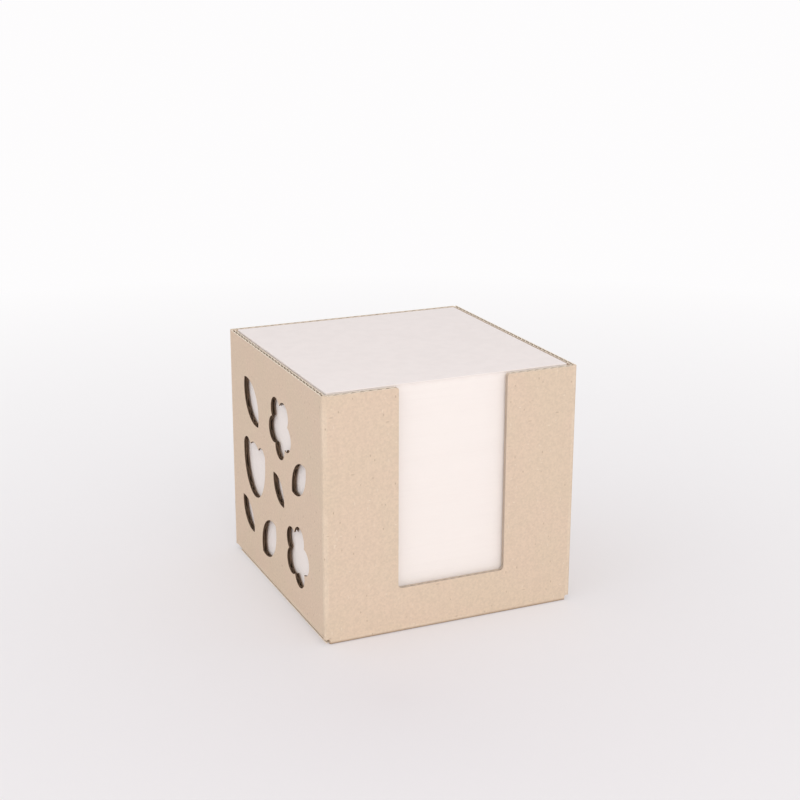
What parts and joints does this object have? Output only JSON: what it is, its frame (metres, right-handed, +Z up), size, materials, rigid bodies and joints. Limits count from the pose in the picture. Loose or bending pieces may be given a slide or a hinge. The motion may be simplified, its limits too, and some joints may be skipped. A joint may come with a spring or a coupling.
{
  "type": "note box",
  "caption": "Open-topped box of folded corrugated board for loose note sheets, with a window in front, leaf and flower cut-outs in the left wall and a tuck-in bottom.",
  "frame": {"origin": "centre of the base outline, on the surface that the box stands on", "axes": "+Z up; the wall with the window faces -Y, and the wall with the cut-outs faces -X"},
  "size_m": [0.0952, 0.0962, 0.089],
  "materials": {
    "outer_liner": "matt natural kraft, flecked with darker and lighter fibres",
    "inner_liner": "matt natural kraft",
    "flute_medium": "matt brown fluted paper",
    "folded_board": "matt natural kraft, creased",
    "note_paper": "matt uncoated white"
  },
  "bodies": {
    "box": {"front_wall_outer_liner": "outer_liner", "front_wall_flutes": "flute_medium", "front_wall_inner_liner": "inner_liner", "left_wall_outer_liner": "outer_liner", "left_wall_flutes": "flute_medium", "left_wall_inner_liner": "inner_liner", "right_wall_outer_liner": "outer_liner", "right_wall_flutes": "flute_medium", "right_wall_inner_liner": "inner_liner", "back_wall_outer_liner": "outer_liner", "back_wall_flutes": "flute_medium", "back_wall_inner_liner": "inner_liner", "front_left_fold": "folded_board", "front_right_fold": "folded_board", "back_left_fold": "folded_board", "back_right_fold": "folded_board", "glue_tab": "folded_board", "bottom_panel_crease": "folded_board", "left_flap_crease": "folded_board", "right_flap_crease": "folded_board"},
    "bottom_panel": {"bottom_panel_outer_liner": "outer_liner", "bottom_panel_flutes": "flute_medium", "bottom_panel_inner_liner": "inner_liner", "tuck_lip_fold": "folded_board", "tuck_lip_outer_liner": "outer_liner", "tuck_lip_flutes": "flute_medium", "tuck_lip_inner_liner": "inner_liner"},
    "left_dust_flap": {"left_dust_flap_outer_liner": "outer_liner", "left_dust_flap_flutes": "flute_medium", "left_dust_flap_inner_liner": "inner_liner"},
    "right_dust_flap": {"right_dust_flap_outer_liner": "outer_liner", "right_dust_flap_flutes": "flute_medium", "right_dust_flap_inner_liner": "inner_liner"},
    "note_stack": {"note_stack": "note_paper", "loose_notes": "note_paper"},
    "top_note": {"top_note": "note_paper"}
  },
  "joints": [
    {"name": "bottom_panel_fold", "type": "hinge", "parent": "box", "child": "bottom_panel", "pos_m": [0, -0.0473, 0.0008], "axis": [-1, 0, 0], "range_deg": [0, 90]},
    {"name": "left_flap_fold", "type": "hinge", "parent": "box", "child": "left_dust_flap", "pos_m": [-0.0468, 0, 0.0026], "axis": [0, 1, 0], "range_deg": [0, 90]},
    {"name": "right_flap_fold", "type": "hinge", "parent": "box", "child": "right_dust_flap", "pos_m": [0.0468, 0, 0.0026], "axis": [0, -1, 0], "range_deg": [0, 90]},
    {"name": "note_stack_lift", "type": "slide", "parent": "box", "child": "note_stack", "axis": [0, 0, 1], "range_m": [0, 0.09]},
    {"name": "top_note_lift", "type": "slide", "parent": "note_stack", "child": "top_note", "axis": [0, 0, 1], "range_m": [0, 0.06]}
  ],
  "couplings": [
    {"joint": "left_flap_fold", "follows": "bottom_panel_fold", "ratio": 1},
    {"joint": "right_flap_fold", "follows": "bottom_panel_fold", "ratio": 1}
  ]
}
